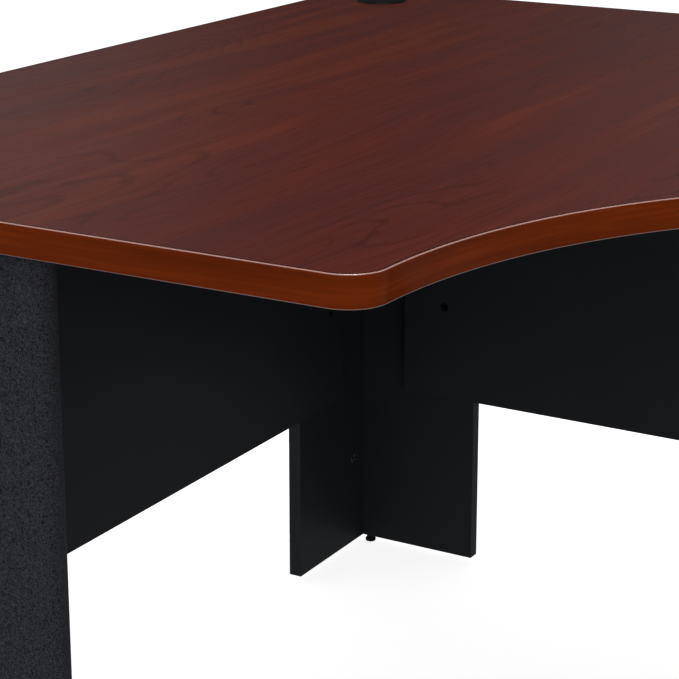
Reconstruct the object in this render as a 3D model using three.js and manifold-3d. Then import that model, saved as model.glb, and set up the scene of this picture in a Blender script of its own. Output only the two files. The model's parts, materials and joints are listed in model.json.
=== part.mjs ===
// A flat-pack corner desk: a square worktop with a concave front, carried by two
// textured end legs and an L-shaped corner leg, and closed behind by two modesty
// panels. Millimetres, +Z up. The origin is on the floor under the middle of the
// worktop's square. The room corner is at -X, +Y.
//
// Plan positions are given from the room corner as (run, off): run is measured
// along a wall away from the corner, and off is measured away from that wall.
// The "right" run follows +X along the back wall, the "left" run follows -Y.
import * as THREE from 'three';
import { mergeVertices } from 'three/addons/utils/BufferGeometryUtils.js';
import Module from 'manifold-3d';

const wasm = await Module();
wasm.setup();

// ---------- driving dimensions ----------
const GAP = 0.3;                 // clearance left between pieces that touch
const SIDE = 1210;               // length of each back edge of the worktop
const HEIGHT = 758;              // floor to work surface
const TOP_THICKNESS = 25;
const END_DEPTH = 697;           // depth of the worktop at each end
const FRONT_CORNER_RADIUS = 30;
const BAND_THICKNESS = 3;
const BAND_ROUNDING = 2;

const FOOT_HEIGHT = 10;          // floor to the underside of the panels
const CORNER_LEG_OFF = 15.5;     // back edge of the worktop to the corner leg
const CORNER_LEG_THICKNESS = 17;
const CORNER_LEG_REACH = 198.5;  // back edge to the corner leg's free ends
const MODESTY_THICKNESS = 18.8;
const MODESTY_BOTTOM = 238;
const MODESTY_START = { left: 119, right: 105 };

const END_LEG_INSET = 20;        // end edge of the worktop to the leg's outer face
const END_LEG_THICKNESS = 32;
const END_LEG_BACK = 17;
const END_LEG_FRONT = 410;
const END_LEG_ROUNDING = 15;

const GROMMET_OFF = 87;          // both back edges to the grommet's centre
const GROMMET_HOLE_RADIUS = 27.5;
const GROMMET_FLANGE_RADIUS = 31;
const GROMMET_FLANGE_HEIGHT = 2.4;
const GROMMET_DEPTH = 20;
const GROMMET_WALL = 1.6;
const GROMMET_SLOT_HALF = 9;     // half width of the cable slot in the cap

const CAM_RADIUS = 7.5;
const CAM_LENGTH = 12;
const CAM_SETBACK = 24.5;        // joint face to the cam's axis
const CAM_BOLT_DEPTH = 8.5;      // panel face to the bolt's axis
const CAM_BOLT_GRIP = 11;        // how far the bolt screws into the other panel
const CAM_HOLLOW = 3.7;          // cross bore that lets the bolt's head into the cam
const CROSS_REACH = 4.6;         // half length of the cam's driving cross
const CROSS_HALF = 0.8;
const CROSS_DEPTH = 3.4;
const CAM_BOLT_BORE = 3.9;       // hole the bolt passes through
const CAM_BOLT_PILOT = 2.8;      // hole it screws into
const CORNER_CAM_HEIGHTS = [130, 618];
const END_CAM_HEIGHTS = [300, 640];
const TOP_CAM_OFFS = [100, 332];

const PANEL_BOLT_RUN = { left: 148, right: 163 };   // room corner to the modesty panels' bolts
const PANEL_BOLT_HEIGHTS = [361, 640];
const PANEL_BOLT_HEAD_RADIUS = 5.4;
const PANEL_BOLT_RADIUS = 3;
const PANEL_BOLT_HEAD_TOP = 4.4;
const PANEL_BOLT_SOCKET = 2.3;
const PANEL_BOLT_RECESS = 8;
const PANEL_INSERT_RADIUS = 4.3;
const PANEL_INSERT_LENGTH = 11.5;

const BRACKET_RUN = 620;
const BRACKET_LEG = 28;
const BRACKET_WIDTH = 32;
const BRACKET_SHEET = 2;
const BRACKET_SCREW_OFF = 17;    // bend to the screw's axis
const SCREW_RADIUS = 2;
const SCREW_HEAD_RADIUS = 3.8;
const SCREW_SOCKET = 1.4;
const SCREW_LENGTH = 14;

const CORNER_FOOT = [40, 24];
const END_FOOT_OFFS = [57, 370];
const PAD_RADIUS = 7;
const PAD_NECK_RADIUS = 5.2;
const STEM_RADIUS = 2.9;
const STEM_BORE = 3.0;
const STEM_TOP = 34;
const STEM_BOTTOM = 3;
const INSERT_RADIUS = 5;
const INSERT_TOP = 38;

// Sides of the round shapes: wide ones, ordinary fittings, and screws and pilot holes.
const HOLLOW_STEPS = 24;
const CORNER_STEPS = 8;
const WIDE = 32;
const FINE = 16;
const COARSE = 10;

// ---------- derived positions ----------
const HALF = SIDE / 2;
const UNDERSIDE = HEIGHT - TOP_THICKNESS;
const PANEL_TOP = UNDERSIDE - GAP;
const CORNER_LEG_INNER = CORNER_LEG_OFF + CORNER_LEG_THICKNESS;
const MODESTY_BACK = CORNER_LEG_INNER + GAP;
const MODESTY_FACE = MODESTY_BACK + MODESTY_THICKNESS;
const END_LEG_OUTER = SIDE - END_LEG_INSET;
const END_LEG_INNER = END_LEG_OUTER - END_LEG_THICKNESS;
const MODESTY_END = END_LEG_INNER - GAP;

// ---------- materials ----------
const finish = (color, roughness, metalness = 0) =>
  new THREE.MeshStandardMaterial({ color, roughness, metalness });
const cherry = () => finish(0x6e3b2e, 0.35);
const bandBrown = () => finish(0x7a3a1a, 0.45);
const black = () => finish(0x17181a, 0.5);
const speckle = () => finish(0x26272b, 0.75);
const plastic = () => finish(0x0d0d0e, 0.4);
const nylon = () => finish(0x1a1a1b, 0.55);
const zinc = () => finish(0x8d8f92, 0.4, 0.9);
const steel = () => finish(0xa5a6a8, 0.35, 1);
const blackSteel = () => finish(0x2a2b2d, 0.45, 1);
const brass = () => finish(0xa88a4a, 0.35, 1);

// ---------- helpers ----------
// World position of a point given from the room corner.
function at(side, run, off, z = 0) {
  return side === 'right'
    ? new THREE.Vector3(run - HALF, HALF - off, z)
    : new THREE.Vector3(off - HALF, HALF - run, z);
}

// World direction of "along the run" and of "away from the wall".
const alongRun = (side) => at(side, 1, 0).sub(at(side, 0, 0));
const awayFromWall = (side) => at(side, 0, 1).sub(at(side, 0, 0));
const UP = new THREE.Vector3(0, 0, 1);

// A closed three.js geometry as a solid that can be cut and joined.
function solid(geometry) {
  const bare = geometry.index ? geometry.toNonIndexed() : geometry.clone();
  bare.deleteAttribute('normal');
  bare.deleteAttribute('uv');
  const merged = mergeVertices(bare, 1e-4);
  return new wasm.Manifold(new wasm.Mesh({
    numProp: 3,
    vertProperties: new Float32Array(merged.attributes.position.array),
    triVerts: new Uint32Array(merged.index.array),
  }));
}

function geometryOf(body) {
  const mesh = body.getMesh();
  const geometry = new THREE.BufferGeometry();
  geometry.setAttribute('position', new THREE.BufferAttribute(mesh.vertProperties, 3));
  geometry.setIndex(new THREE.BufferAttribute(mesh.triVerts, 1));
  return geometry;
}

// A box between two world corners, in any order.
function block(a, b) {
  const size = new THREE.Vector3(Math.abs(b.x - a.x), Math.abs(b.y - a.y), Math.abs(b.z - a.z));
  const geometry = new THREE.BoxGeometry(size.x, size.y, size.z);
  const middle = a.clone().add(b).multiplyScalar(0.5);
  return solid(geometry.translate(middle.x, middle.y, middle.z));
}

// A turned shape: profile rows are [radius, height] along the axis from start.
function turned(profile, start, axis, segments = FINE) {
  const points = profile.map(([radius, height]) => new THREE.Vector2(radius, height));
  const geometry = new THREE.LatheGeometry(points, segments);
  const turn = new THREE.Quaternion().setFromUnitVectors(new THREE.Vector3(0, 1, 0), axis);
  return solid(geometry.applyQuaternion(turn).translate(start.x, start.y, start.z));
}

// A round rod from start, along axis.
const rod = (radius, length, start, axis, segments = FINE) =>
  turned([[0, 0], [radius, 0], [radius, length], [0, length]], start, axis, segments);

const desk = new THREE.Group();

// Adds one named piece, whose own origin is moved to anchor.
function add(name, material, body, anchor) {
  const geometry = geometryOf(body);
  geometry.translate(-anchor.x, -anchor.y, -anchor.z);
  const mesh = new THREE.Mesh(geometry, material);
  mesh.name = name;
  mesh.position.copy(anchor);
  desk.add(mesh);
}

// Cuts to be made in the panels, collected as the fittings are placed.
const cuts = { top: [], left_modesty: [], right_modesty: [], left_corner: [], right_corner: [],
  left_end: [], right_end: [] };
const cutAll = (body, tools) => tools.reduce((left, tool) => left.subtract(tool), body);

// ---------- worktop outline ----------
// The outline lies inset inside the worktop's edge: three square corners at the
// back, two rounded front corners and a quarter circle hollowed out of the front.
function outline(inset) {
  const far = HALF - inset;
  const convex = FRONT_CORNER_RADIUS - inset;
  const hollowCentre = HALF - FRONT_CORNER_RADIUS;
  const hollow = SIDE - END_DEPTH - FRONT_CORNER_RADIUS + inset;
  const cornerCentre = END_DEPTH - HALF - FRONT_CORNER_RADIUS;
  const points = [[-far, far], [-far, -far]];
  const arc = (x, y, radius, from, to, steps) => {
    for (let i = 0; i <= steps; i += 1) {
      const angle = from + (to - from) * (i / steps);
      points.push([x + radius * Math.cos(angle), y + radius * Math.sin(angle)]);
    }
  };
  const quarter = Math.PI / 2;
  arc(cornerCentre, -hollowCentre, convex, -quarter, 0, CORNER_STEPS);
  arc(hollowCentre, -hollowCentre, hollow, 2 * quarter, quarter, HOLLOW_STEPS);
  arc(hollowCentre, -cornerCentre, convex, -quarter, 0, CORNER_STEPS);
  points.push([far, far]);
  return new THREE.Shape(points.map(([x, y]) => new THREE.Vector2(x, y)));
}

const slab = (inset, low, high) => {
  const geometry = new THREE.ExtrudeGeometry(outline(inset), {
    depth: high - low, bevelEnabled: false });
  return solid(geometry.translate(0, 0, low));
};
const roundedSlab = (rounding, low, high) => {
  const geometry = new THREE.ExtrudeGeometry(outline(0), {
    depth: high - low - 2 * rounding, bevelEnabled: true, bevelThickness: rounding,
    bevelSize: rounding, bevelOffset: -rounding, bevelSegments: 2 });
  return solid(geometry.translate(0, 0, low + rounding));
};

// ---------- cable grommet: a flanged liner with a turning cap ----------
const grommetBase = at('right', GROMMET_OFF, GROMMET_OFF, HEIGHT);
const linerRadius = GROMMET_HOLE_RADIUS - GAP;
const boreRadius = linerRadius - GROMMET_WALL;
const ledgeRadius = boreRadius - 2;
const CAP_SEAT = 1.6;            // how far the cap's underside lies below the work surface
// The hole has a shallow rebate that beds the flange level with the work surface.
cuts.top.push(
  rod(GROMMET_HOLE_RADIUS, TOP_THICKNESS + 2, grommetBase.clone().setZ(UNDERSIDE - 1), UP, WIDE),
  rod(GROMMET_FLANGE_RADIUS + GAP, 1, grommetBase.clone().setZ(HEIGHT - GAP), UP, WIDE));
add('grommet_liner', plastic(), turned([
  [ledgeRadius, -GROMMET_DEPTH], [linerRadius, -GROMMET_DEPTH], [linerRadius, 0],
  [GROMMET_FLANGE_RADIUS, 0], [GROMMET_FLANGE_RADIUS - 0.5, 1.2],
  [GROMMET_FLANGE_RADIUS - 2.2, GROMMET_FLANGE_HEIGHT], [boreRadius + 0.6, GROMMET_FLANGE_HEIGHT],
  [boreRadius, GROMMET_FLANGE_HEIGHT - 0.6], [boreRadius, -CAP_SEAT - GAP],
  [ledgeRadius, -CAP_SEAT - GAP], [ledgeRadius, -GROMMET_DEPTH],
], grommetBase, UP, WIDE), grommetBase);

const capRadius = boreRadius - 0.35;
const capTop = GROMMET_FLANGE_HEIGHT - 0.5;
const slotReach = new THREE.Vector3(GROMMET_SLOT_HALF, capRadius + 2, 8);
const slotEnd = 9;               // cap's centre to the slot's rounded end
const capBody = turned([
  [0, -CAP_SEAT], [capRadius, -CAP_SEAT], [capRadius, capTop - 0.5], [capRadius - 0.5, capTop],
  [0, capTop],
], grommetBase, UP, WIDE);
const slotBox = block(
  grommetBase.clone().add(new THREE.Vector3(-slotReach.x, slotEnd, -slotReach.z)),
  grommetBase.clone().add(slotReach));
const slotRound = rod(GROMMET_SLOT_HALF, 2 * slotReach.z,
  grommetBase.clone().add(new THREE.Vector3(0, slotEnd, -slotReach.z)), UP, WIDE);
add('grommet_cap', plastic(), capBody.subtract(slotBox).subtract(slotRound), grommetBase);

// ---------- cam lock and cam bolt ----------
// The cam sits in a blind hole at axisPoint on a panel's face and turns about
// outward. The bolt comes in from the joint face, along towardJoint.
function camFitting(name, panelCuts, mateCuts, axisPoint, outward, towardJoint) {
  const inward = outward.clone().negate();
  const reach = CAM_SETBACK + GAP + CAM_BOLT_GRIP;
  const boltCentre = axisPoint.clone().addScaledVector(inward, CAM_BOLT_DEPTH);
  const boltStart = boltCentre.clone().addScaledVector(towardJoint, -3);
  const hole = rod(CAM_RADIUS + GAP, CAM_LENGTH + 1,
    axisPoint.clone().addScaledVector(outward, 0.5), inward);
  const boltHole = rod(CAM_BOLT_BORE, CAM_SETBACK + 1, boltCentre, towardJoint, COARSE);
  panelCuts.push(hole, boltHole);
  mateCuts.push(rod(CAM_BOLT_PILOT, CAM_BOLT_GRIP + 1.5,
    boltCentre.clone().addScaledVector(towardJoint, CAM_SETBACK), towardJoint, COARSE));

  const across = new THREE.Vector3().crossVectors(outward, towardJoint);
  const recess = (u, v) => {
    const arm = u.clone().multiplyScalar(CROSS_REACH).addScaledVector(v, CROSS_HALF);
    const low = axisPoint.clone().addScaledVector(inward, CROSS_DEPTH).sub(arm);
    const high = axisPoint.clone().addScaledVector(outward, 1).add(arm);
    return block(low, high);
  };
  const body = rod(CAM_RADIUS, CAM_LENGTH - GAP, axisPoint.clone().addScaledVector(inward, GAP),
    inward)
    .subtract(recess(towardJoint, across))
    .subtract(recess(across, towardJoint))
    .subtract(rod(CAM_HOLLOW, CAM_SETBACK, boltStart.clone().addScaledVector(towardJoint, -1),
      towardJoint, COARSE));
  add(`${name}_cam`, zinc(), body, axisPoint);
  const bolt = turned([[0, 0], [2.6, 0], [3.2, 0.7], [3.2, 2.4], [1.9, 3.2], [1.9, 6],
    [3.2, 7], [3.2, CAM_SETBACK + 2.4], [2.5, CAM_SETBACK + 2.6], [2.5, reach + 1.5],
    [0, reach + 3]], boltStart, towardJoint, COARSE);
  add(`${name}_cam_bolt`, steel(), bolt, boltStart);
}

// Corner leg: cams in the left panel, bolts in the right panel.
CORNER_CAM_HEIGHTS.forEach((z, i) => {
  camFitting(`corner_${i ? 'upper' : 'lower'}`, cuts.left_corner, cuts.right_corner,
    at('left', CORNER_LEG_INNER + GAP + CAM_SETBACK, CORNER_LEG_INNER, z),
    awayFromWall('left'), alongRun('left').negate());
});

for (const side of ['left', 'right']) {
  // Modesty panel to end leg.
  END_CAM_HEIGHTS.forEach((z, i) => {
    camFitting(`${side}_end_${i ? 'upper' : 'lower'}`, cuts[`${side}_modesty`], cuts[`${side}_end`],
      at(side, MODESTY_END - CAM_SETBACK, MODESTY_FACE, z), awayFromWall(side), alongRun(side));
  });
  // End leg to worktop.
  TOP_CAM_OFFS.forEach((off, i) => {
    camFitting(`${side}_top_${i ? 'front' : 'back'}`, cuts[`${side}_end`], cuts.top,
      at(side, END_LEG_INNER, off, PANEL_TOP - CAM_SETBACK), alongRun(side).negate(), UP.clone());
  });
}

// ---------- modesty panel bolts and their threaded inserts ----------
for (const side of ['left', 'right']) {
  const out = awayFromWall(side);
  const back = out.clone().negate();
  PANEL_BOLT_HEIGHTS.forEach((z, i) => {
    const name = `${side}_panel_${i ? 'upper' : 'lower'}`;
    const face = at(side, PANEL_BOLT_RUN[side], MODESTY_FACE, z);
    const seat = face.clone().addScaledVector(back, PANEL_BOLT_RECESS);
    const legFace = at(side, PANEL_BOLT_RUN[side], CORNER_LEG_INNER, z);
    cuts[`${side}_modesty`].push(
      rod(PANEL_BOLT_HEAD_RADIUS + 0.6, PANEL_BOLT_RECESS + 1, seat, out),
      rod(PANEL_BOLT_RADIUS + GAP, MODESTY_THICKNESS + 2, seat.clone().addScaledVector(out, 1),
        back, COARSE));
    cuts[`${side}_corner`].push(rod(PANEL_INSERT_RADIUS + GAP, 14, legFace.clone().addScaledVector(out, 1),
      back, COARSE));
    // Head, shank and a hexagonal driving socket.
    const headTop = PANEL_BOLT_HEAD_TOP;
    const shank = face.distanceTo(legFace) - PANEL_BOLT_RECESS + 10;
    const bolt = turned([[0, -shank], [PANEL_BOLT_RADIUS, -shank], [PANEL_BOLT_RADIUS, GAP],
      [PANEL_BOLT_HEAD_RADIUS, GAP], [PANEL_BOLT_HEAD_RADIUS, headTop - 1],
      [PANEL_BOLT_HEAD_RADIUS - 1, headTop], [0, headTop]], seat, out)
      .subtract(rod(PANEL_BOLT_SOCKET, 4, seat.clone().addScaledVector(out, headTop - 2.6), out, 6));
    add(`${name}_bolt`, blackSteel(), bolt, seat);
    const insert = rod(PANEL_INSERT_RADIUS, PANEL_INSERT_LENGTH, legFace.clone().addScaledVector(back, GAP),
      back, COARSE)
      .subtract(rod(PANEL_BOLT_RADIUS + GAP, 14, legFace.clone().addScaledVector(out, 1), back, COARSE));
    add(`${name}_insert`, brass(), insert, legFace);
  });
}

// ---------- angle brackets under the worktop ----------
for (const side of ['left', 'right']) {
  const run = alongRun(side);
  const out = awayFromWall(side);
  const bend = at(side, BRACKET_RUN, MODESTY_FACE + GAP, UNDERSIDE - GAP);
  const half = run.clone().multiplyScalar(BRACKET_WIDTH / 2);
  const corner = (u, v) => bend.clone().addScaledVector(out, u).addScaledVector(UP, -v);
  const upright = block(corner(0, 0).sub(half), corner(BRACKET_SHEET, BRACKET_LEG).add(half));
  const shelf = block(corner(0, 0).sub(half), corner(BRACKET_LEG, BRACKET_SHEET).add(half));
  const downHole = corner(BRACKET_SCREW_OFF, BRACKET_SHEET + 1);
  const backHole = corner(BRACKET_SHEET + 1, BRACKET_SCREW_OFF);
  const back = out.clone().negate();
  const bracket = upright.add(shelf)
    .subtract(rod(SCREW_RADIUS + 0.4, 4, downHole, UP, COARSE))
    .subtract(rod(SCREW_RADIUS + 0.4, 4, backHole, back, COARSE));
  add(`${side}_bracket`, steel(), bracket, bend);
  // Pan-head screws: one up into the worktop, one back into the modesty panel.
  const screwProfile = [[0, -2.2], [2.6, -2.2], [SCREW_HEAD_RADIUS, -1], [SCREW_HEAD_RADIUS, 0],
    [SCREW_RADIUS, 0], [SCREW_RADIUS, SCREW_LENGTH - 3], [0, SCREW_LENGTH]];
  const place = [
    ['worktop', corner(BRACKET_SCREW_OFF, BRACKET_SHEET + GAP), UP, cuts.top],
    ['panel', corner(BRACKET_SHEET + GAP, BRACKET_SCREW_OFF), back, cuts[`${side}_modesty`]],
  ];
  for (const [end, seat, axis, mateCuts] of place) {
    const screw = turned(screwProfile, seat, axis, COARSE)
      .subtract(rod(SCREW_SOCKET, 3, seat.clone().addScaledVector(axis, -3), axis, 6));
    add(`${side}_bracket_${end}_screw`, steel(), screw, seat);
    mateCuts.push(rod(SCREW_RADIUS + GAP, SCREW_LENGTH, seat.clone().addScaledVector(axis, 1), axis,
      COARSE));
  }
}

// ---------- levelling feet ----------
// Each foot is a nylon pad that swivels on a threaded stem. The stem screws into
// an insert in the panel's bottom edge.
const padProfile = [[0, 0], [PAD_RADIUS - 0.7, 0], [PAD_RADIUS, 0.7], [PAD_RADIUS, 3.6],
  [PAD_RADIUS - 0.8, 4.4], [PAD_NECK_RADIUS, 5.2], [PAD_NECK_RADIUS, 9.4],
  [STEM_BORE + 0.15, 9.4], [STEM_BORE + 0.15, STEM_BOTTOM - 0.4], [0, STEM_BOTTOM - 0.4]];
function levellingFoot(name, plan, panelCuts) {
  const floor = plan.clone().setZ(0);
  const panel = plan.clone().setZ(FOOT_HEIGHT);
  panelCuts.push(rod(INSERT_RADIUS + GAP, INSERT_TOP - FOOT_HEIGHT + 2,
    panel.clone().addScaledVector(UP, -1), UP));
  add(`${name}_pad`, nylon(), turned(padProfile, floor, UP), floor);
  add(`${name}_stem`, steel(), turned([[0, STEM_BOTTOM], [STEM_RADIUS, STEM_BOTTOM],
    [STEM_RADIUS, STEM_TOP - 1], [STEM_RADIUS - 1, STEM_TOP], [0, STEM_TOP]], floor, UP), floor);
  const insert = turned([[STEM_BORE, GAP], [INSERT_RADIUS, GAP],
    [INSERT_RADIUS, INSERT_TOP - FOOT_HEIGHT - 0.5], [STEM_BORE, INSERT_TOP - FOOT_HEIGHT - 0.5],
    [STEM_BORE, GAP]], panel, UP);
  add(`${name}_insert`, brass(), insert, panel);
}
levellingFoot('corner_foot', at('right', ...CORNER_FOOT), cuts.right_corner);
for (const side of ['left', 'right']) {
  END_FOOT_OFFS.forEach((off, i) => {
    levellingFoot(`${side}_${i ? 'front' : 'back'}_foot`,
      at(side, (END_LEG_INNER + END_LEG_OUTER) / 2, off), cuts[`${side}_end`]);
  });
}

// ---------- corner leg ----------
add('corner_leg_right_panel', black(), cutAll(
  block(at('right', CORNER_LEG_OFF, CORNER_LEG_OFF, FOOT_HEIGHT),
    at('right', CORNER_LEG_REACH, CORNER_LEG_INNER, PANEL_TOP)), cuts.right_corner),
at('right', CORNER_LEG_OFF, CORNER_LEG_OFF, FOOT_HEIGHT));
add('corner_leg_left_panel', black(), cutAll(
  block(at('left', CORNER_LEG_INNER + GAP, CORNER_LEG_OFF, FOOT_HEIGHT),
    at('left', CORNER_LEG_REACH, CORNER_LEG_INNER, PANEL_TOP)), cuts.left_corner),
at('left', CORNER_LEG_OFF, CORNER_LEG_OFF, FOOT_HEIGHT));

// ---------- modesty panels and end legs ----------
// An end leg's plan is a rectangle whose front and back edges are rounded over.
function endLegPlan(side) {
  const r = END_LEG_ROUNDING;
  const shape = new THREE.Shape();
  const steps = 6;
  const corners = [
    [END_LEG_OUTER - r, END_LEG_BACK + r, 0, -1], [END_LEG_OUTER - r, END_LEG_FRONT - r, 1, 0],
    [END_LEG_INNER + r, END_LEG_FRONT - r, 0, 1], [END_LEG_INNER + r, END_LEG_BACK + r, -1, 0],
  ];
  corners.forEach(([run, off, u, v], c) => {
    for (let i = 0; i <= steps; i += 1) {
      const angle = (i / steps) * Math.PI / 2;
      const along = u * Math.cos(angle) - v * Math.sin(angle);
      const out = v * Math.cos(angle) + u * Math.sin(angle);
      const p = at(side, run + r * along, off + r * out);
      if (c === 0 && i === 0) shape.moveTo(p.x, p.y);
      else shape.lineTo(p.x, p.y);
    }
  });
  shape.closePath();
  return shape;
}
for (const side of ['left', 'right']) {
  const panel = block(at(side, MODESTY_START[side], MODESTY_BACK, MODESTY_BOTTOM),
    at(side, MODESTY_END, MODESTY_FACE, PANEL_TOP));
  add(`${side}_modesty_panel`, black(), cutAll(panel, cuts[`${side}_modesty`]),
    at(side, MODESTY_START[side], MODESTY_BACK, MODESTY_BOTTOM));
  const leg = new THREE.ExtrudeGeometry(endLegPlan(side),
    { depth: PANEL_TOP - FOOT_HEIGHT, bevelEnabled: false });
  add(`${side}_end_leg`, speckle(),
    cutAll(solid(leg.translate(0, 0, FOOT_HEIGHT)), cuts[`${side}_end`]),
    at(side, END_LEG_OUTER, END_LEG_BACK, FOOT_HEIGHT));
}

// ---------- worktop and its edge band ----------
const topMiddle = new THREE.Vector3(0, 0, UNDERSIDE);
add('worktop', cherry(), cutAll(slab(BAND_THICKNESS + GAP, UNDERSIDE, HEIGHT), cuts.top), topMiddle);
add('edge_band', bandBrown(), roundedSlab(BAND_ROUNDING, UNDERSIDE, HEIGHT)
  .subtract(slab(BAND_THICKNESS, UNDERSIDE - 1, HEIGHT + 1)), topMiddle);

export default desk;
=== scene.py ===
# A corner desk in cherry laminate and black, standing in a pale studio.
# Metres, +Z up, the origin on the floor under the middle of the worktop's square.
# The room corner is at -X, +Y and the hollow front faces +X, -Y.
import json
import math

import bmesh
import bpy
import numpy as np
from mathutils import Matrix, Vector

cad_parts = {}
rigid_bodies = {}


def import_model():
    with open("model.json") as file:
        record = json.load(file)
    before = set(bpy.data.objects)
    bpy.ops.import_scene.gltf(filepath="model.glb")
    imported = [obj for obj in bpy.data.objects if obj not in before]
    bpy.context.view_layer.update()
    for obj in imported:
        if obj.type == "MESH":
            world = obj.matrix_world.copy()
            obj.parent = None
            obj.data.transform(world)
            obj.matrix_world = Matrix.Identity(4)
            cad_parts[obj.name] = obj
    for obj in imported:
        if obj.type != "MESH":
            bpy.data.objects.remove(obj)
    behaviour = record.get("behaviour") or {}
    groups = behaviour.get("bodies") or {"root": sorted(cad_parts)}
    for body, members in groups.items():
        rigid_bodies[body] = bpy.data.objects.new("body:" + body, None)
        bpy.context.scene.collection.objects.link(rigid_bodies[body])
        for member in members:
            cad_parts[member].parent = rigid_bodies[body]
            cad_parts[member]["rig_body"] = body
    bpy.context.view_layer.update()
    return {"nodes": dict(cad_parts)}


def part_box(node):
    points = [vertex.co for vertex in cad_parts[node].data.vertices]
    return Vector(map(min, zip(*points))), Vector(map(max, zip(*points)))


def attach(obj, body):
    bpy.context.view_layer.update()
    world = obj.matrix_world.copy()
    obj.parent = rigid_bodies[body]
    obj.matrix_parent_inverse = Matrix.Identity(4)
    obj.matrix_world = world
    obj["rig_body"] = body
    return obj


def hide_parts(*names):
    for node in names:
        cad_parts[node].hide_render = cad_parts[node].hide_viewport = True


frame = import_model()
scene = bpy.context.scene


# ---------------------------------------------------------------- camera
# A long lens from the front left at about chest height, aimed down across
# the worktop into the room corner.
camera = bpy.data.objects.new("camera", bpy.data.cameras.new("camera"))
scene.collection.objects.link(camera)
camera.location = (0.7287, -1.7377, 1.1253)
camera.rotation_euler = (math.radians(90 - 15.58), 0, math.radians(120.09 - 90))
camera.data.lens = 109.6
camera.data.sensor_width = 36
camera.data.shift_y = -0.1
camera.data.clip_end = 60
scene.camera = camera


# ---------------------------------------------------------------- studio
# A pale floor under an overhead softbox, with a wide soft light in front at
# the right and a smaller one at the left. The room is white to the eye, and
# dim in gloss but for both sides and the horizon.
def wire(tree, node, links):
    """Feeds each named input: a socket is linked, and anything else is set as its value."""
    for key, value in links.items():
        socket = node.inputs[key]
        if isinstance(value, bpy.types.NodeSocket):
            tree.links.new(value, socket)
        else:
            socket.default_value = value
    return node


def put(tree, kind, links=(), **settings):
    """One shader node of a kind, with its settings and its inputs."""
    node = tree.nodes.new("ShaderNode" + kind)
    for key, value in settings.items():
        setattr(node, key, value)
    return wire(tree, node, dict(links))


def maths(tree, operation, a, b=0.0):
    """The output of one Math node."""
    return put(tree, "Math", {0: a, 1: b}, operation=operation).outputs[0]


def softbox(name, place, target, size, power):
    """A rectangular area light at place, shining towards target, that the camera doesn't see."""
    lamp = bpy.data.lights.new(name, "AREA")
    lamp.shape = "RECTANGLE"
    lamp.size, lamp.size_y = size
    lamp.energy = power
    obj = bpy.data.objects.new(name, lamp)
    scene.collection.objects.link(obj)
    obj.visible_camera = False
    obj.location = place
    obj.rotation_euler = (Vector(target) - Vector(place)).to_track_quat("-Z", "Y").to_euler()
    return obj


softbox("softbox_over", (0.1, -0.4, 3.0), (0, 0, 0.7), (1.0, 1.0), 30)
front = softbox("softbox_front", (1.7, -3.3, 1.5), (0, 0, 0.45), (3.6, 2.6), 27)
front.visible_glossy = False
softbox("softbox_left", (-3.2, -1.2, 1.3), (0, 0, 0.5), (1.6, 1.6), 8)

WHITE = (1, 1, 1, 1)
ROOM_FILL = 0.34                 # the room's light on matt surfaces
LEFT_GLOW = (0.012, 0.15)        # the room in gloss: ahead, and round to the left
RIGHT_GLOW = (0.0, 0.08)
HORIZON_GLOW = (0.0, 0.04)
world = bpy.data.worlds.new("studio")
scene.world = world
world.use_nodes = True
tree = world.node_tree
tree.nodes.clear()
rays = put(tree, "LightPath")
seen = put(tree, "Background", {"Color": WHITE, "Strength": 1.0})
fill = put(tree, "Background", {"Color": WHITE, "Strength": ROOM_FILL})
way = put(tree, "SeparateXYZ", {0: put(tree, "TexCoord").outputs["Generated"]}).outputs
left_glow = put(tree, "MapRange", {"Value": way["X"], "From Min": -0.51, "From Max": -0.62,
                                   "To Min": LEFT_GLOW[0], "To Max": LEFT_GLOW[1]}).outputs[0]
right_glow = put(tree, "MapRange", {"Value": way["X"], "From Min": -0.45, "From Max": -0.33,
                                    "To Min": RIGHT_GLOW[0], "To Max": RIGHT_GLOW[1]}).outputs[0]
horizon = put(tree, "MapRange", {"Value": way["Z"], "From Min": 0.20, "From Max": 0.13,
                                 "To Min": HORIZON_GLOW[0], "To Max": HORIZON_GLOW[1]}).outputs[0]
sheen = maths(tree, "ADD", maths(tree, "ADD", left_glow, right_glow), horizon)
mirrored = put(tree, "Background", {"Color": WHITE, "Strength": sheen})
unseen = put(tree, "MixShader", {0: rays.outputs["Is Glossy Ray"], 1: fill.outputs[0],
                                 2: mirrored.outputs[0]})
sky = put(tree, "MixShader", {0: rays.outputs["Is Camera Ray"], 1: unseen.outputs[0],
                              2: seen.outputs[0]})
put(tree, "OutputWorld", {"Surface": sky.outputs[0]})

FAR = 14                         # half the floor's width
PAPER_GLOW = 0.86                # the floor's own light, as the camera sees it
PAPER_SHINE = 0.3                # and as gloss sees it
floor_mesh = bpy.data.meshes.new("floor")
floor_mesh.from_pydata([(-FAR, -FAR, 0), (FAR, -FAR, 0), (FAR, FAR, 0), (-FAR, FAR, 0)], [],
                       [(0, 1, 2, 3)])
floor = bpy.data.objects.new("floor", floor_mesh)
scene.collection.objects.link(floor)
paper = bpy.data.materials.new("studio_paper")
paper.use_nodes = True
tree = paper.node_tree
tree.nodes.clear()
rays = put(tree, "LightPath")
lit = put(tree, "BsdfDiffuse", {"Color": (0.8, 0.8, 0.8, 1)})
glow = put(tree, "Emission", {"Color": WHITE, "Strength": PAPER_GLOW})
both = put(tree, "AddShader", {0: lit.outputs[0], 1: glow.outputs[0]})
dim = put(tree, "BsdfDiffuse", {"Color": (0.22, 0.22, 0.22, 1)})
shine = put(tree, "Emission", {"Color": WHITE, "Strength": PAPER_SHINE})
hidden = put(tree, "MixShader", {0: rays.outputs["Is Glossy Ray"], 1: dim.outputs[0],
                                 2: shine.outputs[0]})
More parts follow.
